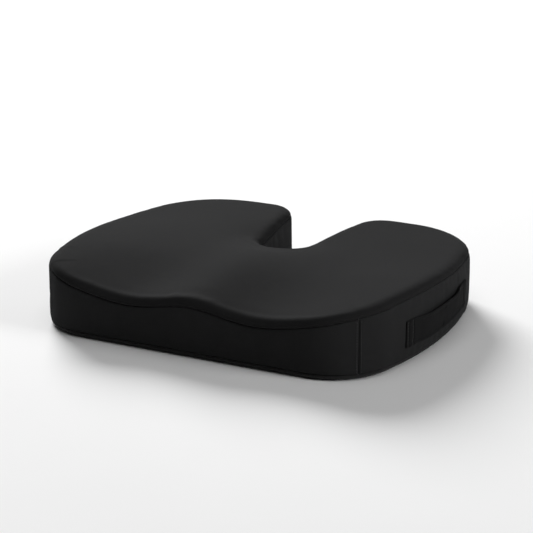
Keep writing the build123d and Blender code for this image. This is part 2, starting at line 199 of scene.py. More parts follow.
class CoverSettings(bpy.types.PropertyGroup):
    """The sewn cover's sizes and colours. The seat and the bands are one fabric; their two colours differ
    only as painted light and shade.
    """

    spacing: length_setting("Mesh spacing", "Distance between mesh lines", 5 * MM)
    thickness: length_setting("Fabric", "Thickness of the fabric", 1.1 * MM)
    pressure: FloatProperty(
        name="Pressure", description="How hard the foam pushes the fabric out", default=4.0
    )
    fullness: length_setting("Fullness", "The most that the fabric may swell", 3.0 * MM)
    front_fullness: length_setting("Front fullness", "How far the front edge's roll stands proud", 2.4 * MM)
    seam_depth: length_setting("Seam depth", "How far a seam is drawn in", 1.1 * MM)
    pucker: length_setting("Pucker", "Height of the small gathers at a seam", 0.22 * MM)
    # The top panel and the bands are one knit: these two colours differ only as painted light and shade on
    # the seat and the walls.
    seat_colour_and_painted_light: colour_setting("Seat", "Colour of the top panel", (0.0158, 0.0158, 0.0161))
    band_colour_and_painted_light: colour_setting("Bands", "Colour of the side bands", (0.0205, 0.0205, 0.0209))
    base_colour: colour_setting("Base", "Colour of the bottom panel", (0.0095, 0.0095, 0.0098))
    thread_colour: colour_setting("Thread", "Colour of the thread", (0.013, 0.013, 0.0135))


class StrapSettings(bpy.types.PropertyGroup):
    """The carrying strap's sizes."""

    stand_off: length_setting("Stand-off", "Gap behind the loose strap's upper edge", 3.8 * MM)
    sag: length_setting("Sag", "How far the loose strap hangs down at its middle", 1.6 * MM)
    columns: IntProperty(name="Columns", description="Mesh columns along each half", default=40)


class StageSettings(bpy.types.PropertyGroup):
    """The camera and the lights."""

    azimuth: angle_setting("Azimuth", "Camera's turn round the cushion", 27.6)
    elevation: angle_setting("Elevation", "Camera's rise", 17.9)
    aim_up: angle_setting("Aim up", "How far above the cushion's middle the camera is aimed", 0.4689)
    aim_aside: angle_setting("Aim aside", "How far beside the cushion's middle the camera is aimed", -0.01172)
    distance: length_setting("Distance", "Camera to the cushion's middle", 2.29)
    lens: FloatProperty(name="Lens", description="Focal length in millimetres", default=132.0)
    key_power: power_setting("Key", "Power of the main light", 500.0)
    top_power: power_setting("Top", "Power of the overhead light", 52.0)
    side_power: power_setting("Side", "Power of the right-hand light", 84.0)


# ---------------------------------------------------------------- plan of the cushion
def closed_smooth(values, sigma):
    """Values round a closed line, smoothed over `sigma` steps."""
    reach = int(3 * sigma) + 1
    weights = np.exp(-0.5 * (np.arange(-reach, reach + 1) / sigma) ** 2)
    padded = np.concatenate([values[-reach:], values, values[:reach]])
    return np.convolve(padded, weights / weights.sum(), "valid")


def slice_outline(obj, height):
    """The longest closed line in which a level plane cuts an object, as an array of plan points."""
    cut = bmesh.new()
    cut.from_mesh(obj.data)
    bmesh.ops.remove_doubles(cut, verts=cut.verts, dist=1e-6)
    everything = cut.verts[:] + cut.edges[:] + cut.faces[:]
    found = bmesh.ops.bisect_plane(
        cut,
        geom=everything,
        plane_co=(0, 0, height),
        plane_no=(0, 0, 1),
        clear_inner=True,
        clear_outer=True,
    )
    left = {e for e in found["geom_cut"] if isinstance(e, bmesh.types.BMEdge)}
    lines = []
    while left:
        edge = left.pop()
        line = [edge.verts[0], edge.verts[1]]
        while True:
            onward = next((e for e in line[-1].link_edges if e in left), None)
            if onward is None:
                break
            left.discard(onward)
            line.append(onward.other_vert(line[-1]))
        lines.append(np.array([v.co.xy for v in line]))
    cut.free()
    return max(lines, key=lambda line: np.linalg.norm(np.diff(line, axis=0), axis=1).sum())


class Plan:
    """The cushion's outline, measured on the frame: points a millimetre apart, anticlockwise from above.

    A place on it is a run, the distance along it from the middle of the front edge."""

    def __init__(self):
        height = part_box("cover_bottom_panel")[1].z - 0.1 * MM
        line = slice_outline(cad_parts["cover_bottom_panel"], height)
        x, y = line[:, 0], line[:, 1]
        if np.sum(x * np.roll(y, -1) - y * np.roll(x, -1)) < 0:
            line = line[::-1]
        start = np.argmin(np.abs(line[:, 0]) + 9 * (line[:, 1] - line[:, 1].min()))
        line = np.roll(line, -start, axis=0)
        line = line[np.linalg.norm(line - np.roll(line, 1, axis=0), axis=1) > 1e-7]
        closed = np.vstack([line, line[:1]])
        runs = np.concatenate([[0], np.cumsum(np.linalg.norm(np.diff(closed, axis=0), axis=1))])
        self.length = runs[-1]
        count = round(self.length / MM)
        self.runs = np.arange(count) * self.length / count
        self.points = np.stack(
            [closed_smooth(np.interp(self.runs, runs, closed[:, k]), 2.5) for k in (0, 1)], axis=1
        )
        along = np.roll(self.points, -2, axis=0) - np.roll(self.points, 2, axis=0)
        along = np.stack([closed_smooth(along[:, k], 2.5) for k in (0, 1)], axis=1)
        along /= np.linalg.norm(along, axis=1)[:, None]
        self.normals = np.stack([along[:, 1], -along[:, 0]], axis=1)

    def _read(self, table, run):
        """A table's two columns at a run, or at an array of runs."""
        wrapped = np.append(self.runs, self.length)
        closed = np.vstack([table, table[:1]])
        inside = np.mod(run, self.length)
        return np.stack([np.interp(inside, wrapped, closed[:, k]) for k in (0, 1)], axis=-1)

    def point(self, run):
        return self._read(self.points, run)

    def normal(self, run):
        return self._read(self.normals, run)

    def nearest(self, x, y):
        """The run of the outline point nearest to a plan point."""
        return self.runs[np.argmin(np.hypot(self.points[:, 0] - x, self.points[:, 1] - y))]

    def level_with(self, x, y):
        """The run of the outline point that has this y, near this x."""
        run = self.nearest(x, y)
        for _ in range(4):
            run = self.nearest(self.point(run)[0], y)
        return run


# ---------------------------------------------------------------- meshes
def surface_tree(*names):
    """A search tree over whole objects, modifiers included."""
    points, faces = [], []
    depsgraph = bpy.context.evaluated_depsgraph_get()
    for name in names:
        shape = bpy.data.objects[name].evaluated_get(depsgraph)
        mesh = shape.to_mesh()
        first = len(points)
        points += [v.co.copy() for v in mesh.vertices]
        faces += [[first + i for i in p.vertices] for p in mesh.polygons]
        shape.to_mesh_clear()
    return BVHTree.FromPolygons(points, faces)


def height_at(tree, x, y):
    """Height of the highest surface over a plan point."""
    hit = tree.ray_cast(Vector((x, y, 1.0)), Vector((0, 0, -1)))[0]
    return math.nan if hit is None else hit.z


def heights_round(tree, places, sigma):
    """Heights at plan points round a closed line, with gaps filled and smoothed over `sigma` points."""
    found = np.array([height_at(tree, x, y) for x, y in places])
    good = np.flatnonzero(~np.isnan(found))
    found = np.interp(np.arange(len(found)), good, found[good], period=len(found))
    return closed_smooth(found, sigma) if sigma else found


def fill_ring(ring, spacing):
    """Triangles inside a closed plan line: (points inside it, triangles over the line's and these)."""
    low, high = ring.min(axis=0), ring.max(axis=0)
    grid = []
    rows = int((high[1] - low[1]) / (spacing * TRIANGLE_ROW))
    for j in range(rows + 1):
        start = low[0] + spacing * 0.5 * (j % 2)
        for i in range(int((high[0] - low[0]) / spacing) + 1):
            grid.append((start + i * spacing, low[1] + j * spacing * TRIANGLE_ROW))
    grid = np.array(grid)
    after = np.roll(ring, -1, axis=0)
    crossings = np.zeros(len(grid), int)
    clearance = np.full(len(grid), 1.0)
    for (x0, y0), (x1, y1) in zip(ring, after):
        spans = (y0 > grid[:, 1]) != (y1 > grid[:, 1])
        if y1 != y0:
            crossings += spans & (grid[:, 0] < (x1 - x0) * (grid[:, 1] - y0) / (y1 - y0) + x0)
        clearance = np.minimum(clearance, np.hypot(grid[:, 0] - x0, grid[:, 1] - y0))
    inside = grid[(crossings % 2 == 1) & (clearance > 0.6 * spacing)]
    places = [Vector(p) for p in np.vstack([ring, inside])]
    count = len(ring)
    edges = [(i, (i + 1) % count) for i in range(count)]
    found, _, faces, origins, _, _ = delaunay_2d_cdt(places, edges, [], 1, 1e-7)
    names = [origin[0] for origin in origins]
    triangles = []
    for face in faces:
        a, b, c = (found[i] for i in face)
        turned = (b - a).cross(c - a) < 0
        corners = [names[i] for i in face]
        triangles.append(corners[::-1] if turned else corners)
    return inside, triangles


def new_piece(name, points, faces, material):
    """A smooth-shaded mesh object in the scene."""
    mesh = bpy.data.meshes.new(name)
    mesh.from_pydata([tuple(p) for p in points], [], [tuple(f) for f in faces])
    mesh.polygons.foreach_set("use_smooth", [True] * len(mesh.polygons))
    mesh.update()
    obj = bpy.data.objects.new(name, mesh)
    bpy.context.scene.collection.objects.link(obj)
    if material:
        mesh.materials.append(material)
    return obj


def write_vectors(obj, name, values):
    """Stores a vector for each vertex, for a material to read."""
    attribute = obj.data.attributes.new(name, "FLOAT_VECTOR", "POINT")
    attribute.data.foreach_set("vector", np.asarray(values, np.float32).ravel())


def read_vectors(mesh, name):
    """The vectors that write_vectors stored, a row for each vertex."""
    values = np.zeros(len(mesh.vertices) * 3, np.float32)
    mesh.attributes[name].data.foreach_get("vector", values)
    return values.reshape(-1, 3)


def vertex_array(mesh, normals=False):
    """The vertices' places, or their normals, a row for each vertex."""
    values = np.zeros(len(mesh.vertices) * 3, np.float32)
    if normals:
        mesh.vertex_normals.foreach_get("vector", values)
    else:
        mesh.vertices.foreach_get("co", values)
    return values.reshape(-1, 3).astype(float)


def settle(obj):
    """Replaces an object's mesh by its evaluated shape and clears its modifiers."""
    depsgraph = bpy.context.evaluated_depsgraph_get()
    mesh = bpy.data.meshes.new_from_object(obj.evaluated_get(depsgraph))
    old, obj.data = obj.data, mesh
    obj.modifiers.clear()
    bpy.data.meshes.remove(old)
    obj.data.name = obj.name


# ---------------------------------------------------------------- material parts
def once(collection):
    """Makes a function that builds a named item give back the item that is there, if there is one."""

    def wrap(build):
        def find_or_build(name, *details):
            held = getattr(bpy.data, collection)
            return held[name] if name in held else build(name, *details)

        return find_or_build

    return wrap


def new_group(name, outputs, **inputs):
    """A shader node group that takes a vector and numbers: (group, its input node, its output node)."""
    group = bpy.data.node_groups.new(name, "ShaderNodeTree")
    group.interface.new_socket(name="Vector", in_out="INPUT", socket_type="NodeSocketVector")
    for label, default in inputs.items():
        socket = group.interface.new_socket(name=label, in_out="INPUT", socket_type="NodeSocketFloat")
        socket.default_value = default
    for label in outputs:
        group.interface.new_socket(name=label, in_out="OUTPUT", socket_type="NodeSocketFloat")
    return group, group.nodes.new("NodeGroupInput"), group.nodes.new("NodeGroupOutput")


def math_node(tree, operation, a, b):
    """A math node on two values, each a socket or a number; returns its output socket."""
    node = tree.nodes.new("ShaderNodeMath")
    node.operation = operation
    for place, value in enumerate((a, b)):
        if isinstance(value, (int, float)):
            node.inputs[place].default_value = value
        elif value is not None:
            tree.links.new(value, node.inputs[place])
    return node.outputs[0]


def ramp(tree, value, base, gain):
    """base + gain * value."""
    return math_node(tree, "ADD", base, math_node(tree, "MULTIPLY", value, gain))


def noise_node(tree, vector, scale, detail, roughness=0.5):
    """Fractal noise over places in metres; returns its output socket."""
    node = tree.nodes.new("ShaderNodeTexNoise")
    node.inputs["Detail"].default_value = detail
    node.inputs["Roughness"].default_value = roughness
    if isinstance(scale, (int, float)):
        node.inputs["Scale"].default_value = scale
    else:
        tree.links.new(scale, node.inputs["Scale"])
    tree.links.new(vector, node.inputs["Vector"])
    return node.outputs["Fac"]


@once("node_groups")
def knit_group(name):
    """Fine knit: rows of small loops with a short fuzz over them."""
    group, come, go = new_group(name, ("Height", "Tone"), Pitch=1.1 * MM, Fuzz=0.5)
    split = group.nodes.new("ShaderNodeSeparateXYZ")
    group.links.new(come.outputs["Vector"], split.inputs[0])
    per = math_node(group, "DIVIDE", 2 * math.pi, come.outputs["Pitch"])
    across = math_node(group, "MULTIPLY", split.outputs[0], per)
    along = math_node(group, "MULTIPLY", split.outputs[1], per)
    wale = math_node(group, "SINE", across, None)
    lean = math_node(group, "MULTIPLY", math_node(group, "ABSOLUTE", wale, None), 1.6)
    course = math_node(group, "SINE", math_node(group, "ADD", along, lean), None)
    loops = math_node(group, "MULTIPLY", math_node(group, "ADD", course, wale), 0.25)
    fuzz = noise_node(group, come.outputs["Vector"], 1400.0, 3.0, 0.6)
    hair = math_node(group, "MULTIPLY", fuzz, come.outputs["Fuzz"])
    group.links.new(math_node(group, "ADD", loops, hair), go.inputs["Height"])
    tone = ramp(group, math_node(group, "ADD", loops, fuzz), 0.86, 0.28)
    group.links.new(tone, go.inputs["Tone"])
    return group


@once("node_groups")
def weave_group(name):
    """Plain weave: threads that cross over and under."""
    group, come, go = new_group(name, ("Height", "Tone"), Pitch=0.7 * MM)
    split = group.nodes.new("ShaderNodeSeparateXYZ")
    group.links.new(come.outputs["Vector"], split.inputs[0])
    per = math_node(group, "DIVIDE", 2 * math.pi, come.outputs["Pitch"])
    warp = math_node(group, "SINE", math_node(group, "MULTIPLY", split.outputs[0], per), None)
    weft = math_node(group, "SINE", math_node(group, "MULTIPLY", split.outputs[1], per), None)
    cross = math_node(group, "MULTIPLY", warp, weft)
    height = ramp(group, cross, 0.5, 0.5)
    group.links.new(height, go.inputs["Height"])
    group.links.new(ramp(group, height, 0.8, 0.3), go.inputs["Tone"])
    return group


@once("node_groups")
def handling_group(name):
    """Handling marks: broad, faint changes of tone in the pile, and a little lint."""
    group, come, go = new_group(name, ("Tone", "Lint"), Amount=0.12)
    broad = noise_node(group, come.outputs["Vector"], 11.0, 2.0)
    fine = noise_node(group, come.outputs["Vector"], 60.0, 3.0)
    broad_part = math_node(group, "MULTIPLY", broad, 0.7)
    mixed = math_node(group, "ADD", broad_part, math_node(group, "MULTIPLY", fine, 0.3))
    centred = math_node(group, "SUBTRACT", mixed, 0.5)
    centred = math_node(group, "MULTIPLY", centred, come.outputs["Amount"])
    group.links.new(math_node(group, "ADD", 1.0, centred), go.inputs["Tone"])
    specks = noise_node(group, come.outputs["Vector"], 420.0, 1.0)
    lint = math_node(group, "MULTIPLY", math_node(group, "GREATER_THAN", specks, 0.8), 0.25)
    group.links.new(lint, go.inputs["Lint"])
    return group


def place_group(tree, group, vector, **values):
    """A node group in a material, with its inputs set; returns its node."""
    node = tree.nodes.new("ShaderNodeGroup")
    node.node_tree = group
    tree.links.new(vector, node.inputs["Vector"])
    for label, value in values.items():
        node.inputs[label].default_value = value
    return node


def new_material(name, colour, roughness, **constants):
    """A material with its shader's constants set: (material, tree, shader)."""
    material = bpy.data.materials.new(name)
    material.use_nodes = True
    tree = material.node_tree
    shader = tree.nodes["Principled BSDF"]
    shader.inputs["Base Color"].default_value = (*colour, 1)
    shader.inputs["Roughness"].default_value = roughness
    for label, value in constants.items():
        shader.inputs[label.replace("_", " ")].default_value = value
    return material, tree, shader


def tint(tree, shader, colour, tone):
    """Base colour multiplied by a tone that changes over the surface."""
    mix = tree.nodes.new("ShaderNodeVectorMath")
    mix.operation = "SCALE"
    mix.inputs[0].default_value = colour
    tree.links.new(tone, mix.inputs["Scale"])
    tree.links.new(mix.outputs[0], shader.inputs["Base Color"])


def raise_bump(tree, shader, height, distance, strength=1.0):
    """Bump from a height, feeding the shader's normal."""
    bump = tree.nodes.new("ShaderNodeBump")
    bump.inputs["Distance"].default_value = distance
    bump.inputs["Strength"].default_value = strength
    tree.links.new(height, bump.inputs["Height"])
    tree.links.new(bump.outputs[0], shader.inputs["Normal"])


def cloth_coordinates(tree):
    """Places on the flat cloth, in metres, as the pieces store them."""
    node = tree.nodes.new("ShaderNodeAttribute")
    node.attribute_name = "cloth"
    return node.outputs["Vector"]


def object_coordinates(tree):
    """Places on the object, in metres."""
    return tree.nodes.new("ShaderNodeTexCoord").outputs["Object"]


@once("materials")
def knit_material(name, colour, pitch, sheen, fuzz):
    """Matt knitted fabric with a short pile."""
    pile = {"Sheen_Weight": sheen, "Sheen_Roughness": 0.42, "Sheen_Tint": (0.75, 0.76, 0.78, 1)}
    material, tree, shader = new_material(name, colour, 0.92, Specular_IOR_Level=0.02, **pile)
    cloth = cloth_coordinates(tree)
    knit = place_group(tree, knit_group("Fine knit"), cloth, Pitch=pitch, Fuzz=fuzz)
    marks = place_group(tree, handling_group("Handling marks"), cloth, Amount=0.22)
    tone = math_node(tree, "MULTIPLY", knit.outputs["Tone"], marks.outputs["Tone"])
    tone = math_node(tree, "ADD", tone, marks.outputs["Lint"])
    tint(tree, shader, colour, tone)
    raise_bump(tree, shader, knit.outputs["Height"], 0.25 * MM, 0.6)
    return material


@once("materials")
def weave_material(name, colour, pitch, coordinates):
    """Matt woven fabric, as of the bottom panel and the zip's tapes."""
    material, tree, shader = new_material(name, colour, 0.85, Specular_IOR_Level=0.25, Sheen_Weight=0.06)
    cloth = coordinates(tree)
    weave = place_group(tree, weave_group("Plain weave"), cloth, Pitch=pitch)
    marks = place_group(tree, handling_group("Handling marks"), cloth, Amount=0.2)
    tone = math_node(tree, "MULTIPLY", weave.outputs["Tone"], marks.outputs["Tone"])
    tint(tree, shader, colour, tone)
    raise_bump(tree, shader, weave.outputs["Height"], 0.2 * MM, 0.7)
    return material


@once("materials")
def thread_material(name, colour):
    """Twisted polyester thread."""
    material, tree, shader = new_material(name, colour, 0.6, Sheen_Weight=0.15)
    twist = tree.nodes.new("ShaderNodeTexWave")
    twist.bands_direction = "DIAGONAL"
    twist.inputs["Scale"].default_value = 900.0
    tree.links.new(object_coordinates(tree), twist.inputs["Vector"])
    tint(tree, shader, colour, ramp(tree, twist.outputs["Fac"], 0.8, 0.4))
    raise_bump(tree, shader, twist.outputs["Fac"], 0.1 * MM)
    return material


@once("materials")
def moulded_material(name, colour, roughness, grain):
    """Moulded plastic or rubber with a fine grain, unevenly dulled."""
    material, tree, shader = new_material(name, colour, roughness)
    place = object_coordinates(tree)
    pits = noise_node(tree, place, 1 / grain, 3.0)
    wear = noise_node(tree, place, 120.0, 2.0)
    tint(tree, shader, colour, ramp(tree, wear, 0.8, 0.4))
    spread = ramp(tree, wear, roughness - 0.08, 0.16)
    tree.links.new(spread, shader.inputs["Roughness"])
    raise_bump(tree, shader, pits, 0.05 * MM, 0.5)
    return material


@once("materials")
def metal_material(name, colour):
    """Enamelled zinc with a faintly scuffed surface."""
    material, tree, shader = new_material(name, colour, 0.38, Coat_Weight=0.3, Coat_Roughness=0.25)
    place = object_coordinates(tree)
    scuffs = noise_node(tree, place, 260.0, 4.0, 0.65)
    tint(tree, shader, colour, ramp(tree, scuffs, 0.7, 0.6))
    spread = ramp(tree, scuffs, 0.26, 0.26)
    tree.links.new(spread, shader.inputs["Roughness"])
    raise_bump(tree, shader, scuffs, 0.03 * MM, 0.4)
    return material


@once("materials")
def foam_material(name, colour):
    """Open-cell foam with small pores."""
    material, tree, shader = new_material(name, colour, 0.95)
    place = object_coordinates(tree)
    cells = tree.nodes.new("ShaderNodeTexVoronoi")
    cells.inputs["Scale"].default_value = 900.0
    tree.links.new(place, cells.inputs["Vector"])
    broad = noise_node(tree, place, 30.0, 3.0)
    tint(tree, shader, colour, ramp(tree, broad, 0.85, 0.2))
    raise_bump(tree, shader, cells.outputs["Distance"], 0.4 * MM, 0.8)
    return material


# ---------------------------------------------------------------- cover
SEGMENTS = ("right_band", "cutout_band", "left_rear_band", "zip", "left_front_band", "front_band")
REPLACED = {
    "seat_panel": "cover_top_panel",
    "bottom_panel": "cover_bottom_panel",
    "right_band": "cover_right_band",
    "cutout_band": "cover_cutout_band",
    "left_rear_band": "cover_left_rear_band",
    "left_front_band": "cover_left_front_band",
    "front_band": "cover_front_band",
    "upper_zip_band": "zip_panel_upper",
    "lower_zip_band": "zip_panel_lower",
}


def seam_runs(plan):
    """Runs of the upright seams, anticlockwise from the right front corner and round to it again."""
    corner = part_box("cover_front_band")[1]
    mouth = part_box("cover_cutout_band")[1]
    zip_low, zip_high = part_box("zip_panel_upper")
    first = plan.nearest(corner.x, corner.y)
    return [
        first,
        plan.nearest(mouth.x, mouth.y),
        plan.nearest(-mouth.x, mouth.y),
        plan.level_with(zip_low.x, zip_high.y),
        plan.level_with(zip_low.x, zip_low.y),
        plan.nearest(-corner.x, corner.y),
        first + plan.length,
    ]


def spread_between(start, end, spacing):
    """Distances from start to just short of end: close together beside the two ends, even between them."""
    inner = [start + step for step in SEAM_STEPS] + [end - step for step in reversed(SEAM_STEPS)]
    first, last = start + SEAM_STEPS[-1], end - SEAM_STEPS[-1]
    count = max(2, round((last - first) / spacing))
    middle = [first + (last - first) * i / count for i in range(1, count)]
    steps = len(SEAM_STEPS)
    return [start] + inner[:steps] + middle + inner[steps:]


class Cover:
    """The whole cover as one closed mesh of rows round the outline, before it is cut into its panels."""

    def __init__(self, settings):
        self.plan = Plan()
        self.keys = seam_runs(self.plan)
        self.stations = []
        self.seam_stations = []
        for start, end in zip(self.keys, self.keys[1:]):
            self.seam_stations.append(len(self.stations))
            self.stations += spread_between(start, end, settings.spacing)
        runs = np.array(self.stations)
        self.count = len(runs)
        self.edge = self.plan.point(runs)
        self.out = self.plan.normal(runs)
        self.points, self.cloth, self.rows = [], [], 0
        self._lay_rows(settings)
        self._lay_faces(settings.spacing)

    def _add_row(self, inset, height, flat=None):
        """One row round the outline; `flat` is its inset on the unrolled cloth, or None on the bands."""
        place = self.edge - self.out * inset
        height = np.broadcast_to(height, self.count)
        self.points += [(x, y, z) for (x, y), z in zip(place, height)]
        if flat is None:
            self.cloth += [(run, z, 0) for run, z in zip(self.stations, height)]
        else:
            self.cloth += [(x, y, 0) for x, y in self.edge - self.out * flat]
        self.rows += 1
        return self.rows - 1

    def _lay_rows(self, settings):
        base, low_seam = (corner.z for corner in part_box("cover_bottom_panel"))
        slot_low, slot_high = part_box("zip_panel_lower")[1].z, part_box("zip_panel_upper")[0].z
        bands = surface_tree(*BAND_NODES)
        seat = surface_tree("cover_top_panel")
        self.seat = seat
        rim = heights_round(bands, self.edge - self.out * RIM_INSET, 2)
        for inset in BASE_INSETS:
            self._add_row(inset, base, inset)
        for angle in (math.radians(a) for a in (30, 60, 79)):
            inset = BOTTOM_ROLL * (1 - math.sin(angle))
            self._add_row(inset, base + BOTTOM_ROLL * (1 - math.cos(angle)), BOTTOM_ROLL * (1 - angle))
        self.low_seam = self._add_row(0, low_seam, BOTTOM_ROLL * (1 - math.pi / 2))
        near, wide, _ = SEAM_STEPS
        for height in (low_seam + near, low_seam + wide, low_seam + 7 * MM):
            self._add_row(0, height)
        for height in (slot_low - 4 * MM, slot_low - near):
            self._add_row(0, height)
        self.slot_low = self._add_row(0, slot_low)
        middle = (slot_low + slot_high) / 2
        for height in (slot_low + 2.5 * MM, middle, slot_high - 2.5 * MM):
            self._add_row(0, height)
        self.slot_high = self._add_row(0, slot_high)
        above = slot_high + 4 * MM
        self._add_row(0, slot_high + near)
        self._add_row(0, above)
        for share in (0.2, 0.4, 0.6, 0.8, 1.0):
            self._add_row(0, above + (rim - wide - above) * share)
        self._add_row(0, rim - near)
        seam_angle = math.asin(1 - TOP_SEAM_DROP / TOP_ROLL)
        for degrees in (math.degrees(seam_angle), 20.5, 31, 46, 63, 90):
            angle = math.radians(degrees)
            inset = TOP_ROLL * (1 - math.cos(angle))
            flat = TOP_ROLL * (1 - (math.pi / 2 - angle))
            height = heights_round(seat, self.edge - self.out * max(inset, RIM_INSET), 2)
            if inset < 0.5 * MM:
                self.top_seam = self._add_row(inset, rim, flat)
                continue
            forward = np.clip(-self.out[:, 1], 0, 1)
            proud = settings.front_fullness * forward**2 * math.sin(2 * angle)
            outward = (inset - proud * math.cos(angle))[:, None]
            self._add_row(outward, height + proud * math.sin(angle), flat)
        self.roll_end = self.rows - 1
        for inset in SEAT_INSETS:
            place = self.edge - self.out * inset
            self._add_row(inset, heights_round(seat, place, 1.5), inset)

    def _ring(self, row):
        return list(range(row * self.count, (row + 1) * self.count))

    def _lay_faces(self, spacing):
        self.faces, self.panels = [], []
        for row in range(self.rows - 1):
            here, above = self._ring(row), self._ring(row + 1)
            for i in range(self.count):
                j = (i + 1) % self.count
                self.faces.append((here[i], here[j], above[j], above[i]))
                self.panels.append(self._panel(row, i))
        base = self.points[0][2]
        for row, name in ((self.rows - 1, "seat_panel"), (0, "bottom_panel")):
            ring = self._ring(row)
            line = np.array([self.points[k][:2] for k in ring])
            inside, triangles = fill_ring(line, spacing * 1.1)
            names = ring + [len(self.points) + k for k in range(len(inside))]
            for x, y in inside:
                height = self._seat_height(x, y) if name == "seat_panel" else base
                self.points.append((x, y, height))
                self.cloth.append((x, y, 0))
            for triangle in triangles:
                face = [names[k] for k in triangle]
                self.faces.append(face if name == "seat_panel" else face[::-1])
                self.panels.append(name)

    def _seat_height(self, x, y):
        """Seat height, averaged over a few millimetres so that the frame's facets don't show."""
        step = 3 * MM
        around = [(0, 0), (step, 0), (-step, 0), (0, step), (0, -step)]
        return float(np.nanmean([height_at(self.seat, x + dx, y + dy) for dx, dy in around]))

    def _panel(self, row, station):
        if row < self.low_seam:
            return "bottom_panel"
        if row >= self.top_seam:
            return "seat_panel"
        segment = SEGMENTS[sum(1 for s in self.seam_stations if s <= station) - 1]
        if segment != "zip":
            return segment
        if row < self.slot_low:
            return "lower_zip_band"
        return "upper_zip_band" if row >= self.slot_high else ""

    def grid(self):
        """Vertex numbers of the rows, as an array of rows by stations."""
        return np.arange(self.rows * self.count).reshape(self.rows, self.count)

    def zip_columns(self):
        start, end = self.seam_stations[3], self.seam_stations[4]
        return range(start, end + 1)

    def held(self):
        """Vertices that the foam, the seams and the zip hold still."""
        grid = self.grid()
        held = set(range(grid.size, len(self.points)))
        held.update(grid[: len(BASE_INSETS)].ravel())
        held.update(grid[self.roll_end + 1 :].ravel())
        held.update(grid[self.low_seam])
        held.update(grid[self.top_seam])
        for station in self.seam_stations:
            held.update(grid[self.low_seam : self.top_seam, station])
        for column in self.zip_columns():
            held.update(grid[self.slot_low : self.slot_high + 1, column])
        return sorted(int(v) for v in held)

    def seam_vertices(self):
        grid = self.grid()
        seams = set(grid[self.low_seam]) | set(grid[self.top_seam])
        for station in self.seam_stations:
            seams |= set(grid[self.low_seam : self.top_seam, station])
        return sorted(int(v) for v in seams)

    def draw_in(self, depth):
        """How far each vertex is drawn in by the seams; negative where the seam's folds stand proud."""
        drawn = np.zeros(len(self.points))
        grid = self.grid()
        bands = slice(self.low_seam, self.top_seam + 1)
        for station in self.seam_stations:
            for side in (-1, 1):
                drawn[grid[bands, (station + 2 * side) % self.count]] = FOLD * depth
                drawn[grid[bands, (station + side) % self.count]] = FOLD_FOOT * depth
        for seam in (self.low_seam, self.top_seam):
            for row in (seam - 1, seam + 1):
                drawn[grid[row]] = np.maximum(drawn[grid[row]], ROW_FOOT * depth)
            drawn[grid[seam]] = depth
        for station in self.seam_stations:
            drawn[grid[bands, station]] = depth
        return drawn


def swell(cover, settings):
    """Lets the cover swell outward over its foam as cloth under pressure, and returns its points."""
    rest = np.array(cover.points)
    obj = new_piece("cover_blank", cover.points, cover.faces, None)
    normals = vertex_array(obj.data, normals=True)
    group = obj.vertex_groups.new(name="held")
    group.add(cover.held(), 1.0, "REPLACE")
    cloth = obj.modifiers.new("Swell", "CLOTH")
    for label, value in CLOTH.items():
        setattr(cloth.settings, label, value)
    cloth.settings.uniform_pressure_force = settings.pressure
    cloth.settings.effector_weights.gravity = 0
    cloth.point_cache.frame_start = 1
    cloth.point_cache.frame_end = CLOTH_FRAMES
    for step in range(1, CLOTH_FRAMES + 1):
        bpy.context.scene.frame_set(step)
    settle(obj)
    bpy.context.scene.frame_set(1)
    moved = vertex_array(obj.data) - rest
    outward = np.sum(moved * normals, axis=1)
    tangential = moved - normals * outward[:, None]
    moved = TANGENTIAL_SHARE * tangential + normals * np.maximum(outward, 0)[:, None]
    size = np.linalg.norm(moved, axis=1)
    capped = settings.fullness * np.tanh(size / settings.fullness) / np.maximum(size, NO_MOVEMENT)
    share = np.where(size > NO_MOVEMENT, capped, 0)
    points = rest + moved * share[:, None]
    points[:, 2] = np.maximum(points[:, 2], rest[:, 2].min())
    obj.data.vertices.foreach_set("co", points.astype(np.float32).ravel())
    obj.data.update()
    points -= vertex_array(obj.data, normals=True) * cover.draw_in(settings.seam_depth)[:, None]
    points[:, 2] = np.maximum(points[:, 2], rest[:, 2].min())
    bpy.data.objects.remove(obj)
    return points


def gather(obj, settings):
    """Small gathers across the seams, and the slight unevenness of fabric over foam."""
    mesh = obj.data
    points, normals = vertex_array(mesh), vertex_array(mesh, normals=True)
    edges = read_vectors(mesh, "edge")
    lift = np.zeros(len(points))
    for k, (point, edge) in enumerate(zip(points, edges)):
        near = math.exp(-edge[2] / GATHER_REACH) * (1 - math.exp(-edge[2] / GATHER_START))
        ripple = noise.noise(Vector((edge[0] * GATHER_FREQUENCY, edge[1] * GATHER_FREQUENCY, 3.7)))
        broad = noise.noise(Vector(point) * UNEVEN_FREQUENCY)
        free = 1 - math.exp(-edge[2] / UNEVEN_REACH)
        lift[k] = settings.pucker * (2.0 * near * ripple) + UNEVEN_HEIGHT * broad * free
    if obj.name == "bottom_panel":
        lift[points[:, 2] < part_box("cover_bottom_panel")[0].z + 1.5 * MM] = 0
    mesh.vertices.foreach_set("co", (points + normals * lift[:, None]).astype(np.float32).ravel())
    mesh.update()


